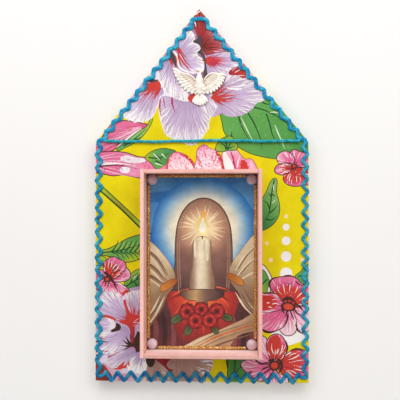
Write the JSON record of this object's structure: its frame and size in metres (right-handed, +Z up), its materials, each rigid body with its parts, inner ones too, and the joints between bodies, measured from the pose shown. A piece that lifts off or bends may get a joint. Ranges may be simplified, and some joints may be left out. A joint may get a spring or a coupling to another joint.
{
  "type": "gabled wall shrine with a shadow box",
  "caption": "Small gabled wall shrine: a cloth-covered board with braid trim, an open shadow box with a picture, a resin dove and a swinging hanger ring on the back.",
  "frame": {"origin": "middle of the cloth-covered base edge, halfway through the board's thickness", "axes": "+Z up towards the ridge, -Y the front, +X to the right as seen from the front"},
  "size_m": [0.1206, 0.0271, 0.2103],
  "materials": {
    "board": "raw fibreboard",
    "cloth": "printed plain-weave cotton",
    "lining": "matt kraft paper",
    "braid": "woven braid",
    "pink_paint": "thin matt paint, worn edges",
    "card": "printed card, satin",
    "glitter": "gold glitter",
    "pearl": "pearlescent",
    "resin": "pearlescent cast resin",
    "brass": "plated, satin"
  },
  "bodies": {
    "plaque": {"back_board": "board", "fabric_cover": "cloth", "back_lining": "lining", "rickrack_trim": "braid", "eave_cord": "braid", "box_left_wall": "pink_paint", "box_right_wall": "pink_paint", "box_top_wall": "pink_paint", "box_bottom_wall": "pink_paint", "box_floor": "pink_paint", "picture_card": "card", "glitter_left": "glitter", "glitter_right": "glitter", "glitter_top": "glitter", "glitter_bottom": "glitter", "pearl_top_left": "pearl", "pearl_top_right": "pearl", "pearl_bottom_left": "pearl", "pearl_bottom_right": "pearl", "dove": "resin", "hanger_strap": "brass", "hanger_screw": "brass"},
    "ring": {"hanger_ring": "brass"}
  },
  "joints": [
    {"name": "ring_swing", "type": "hinge", "parent": "plaque", "child": "ring", "pos_m": [0, 0.00575, 0.165], "axis": [1, 0, 0], "range_deg": [0, 180]}
  ]
}
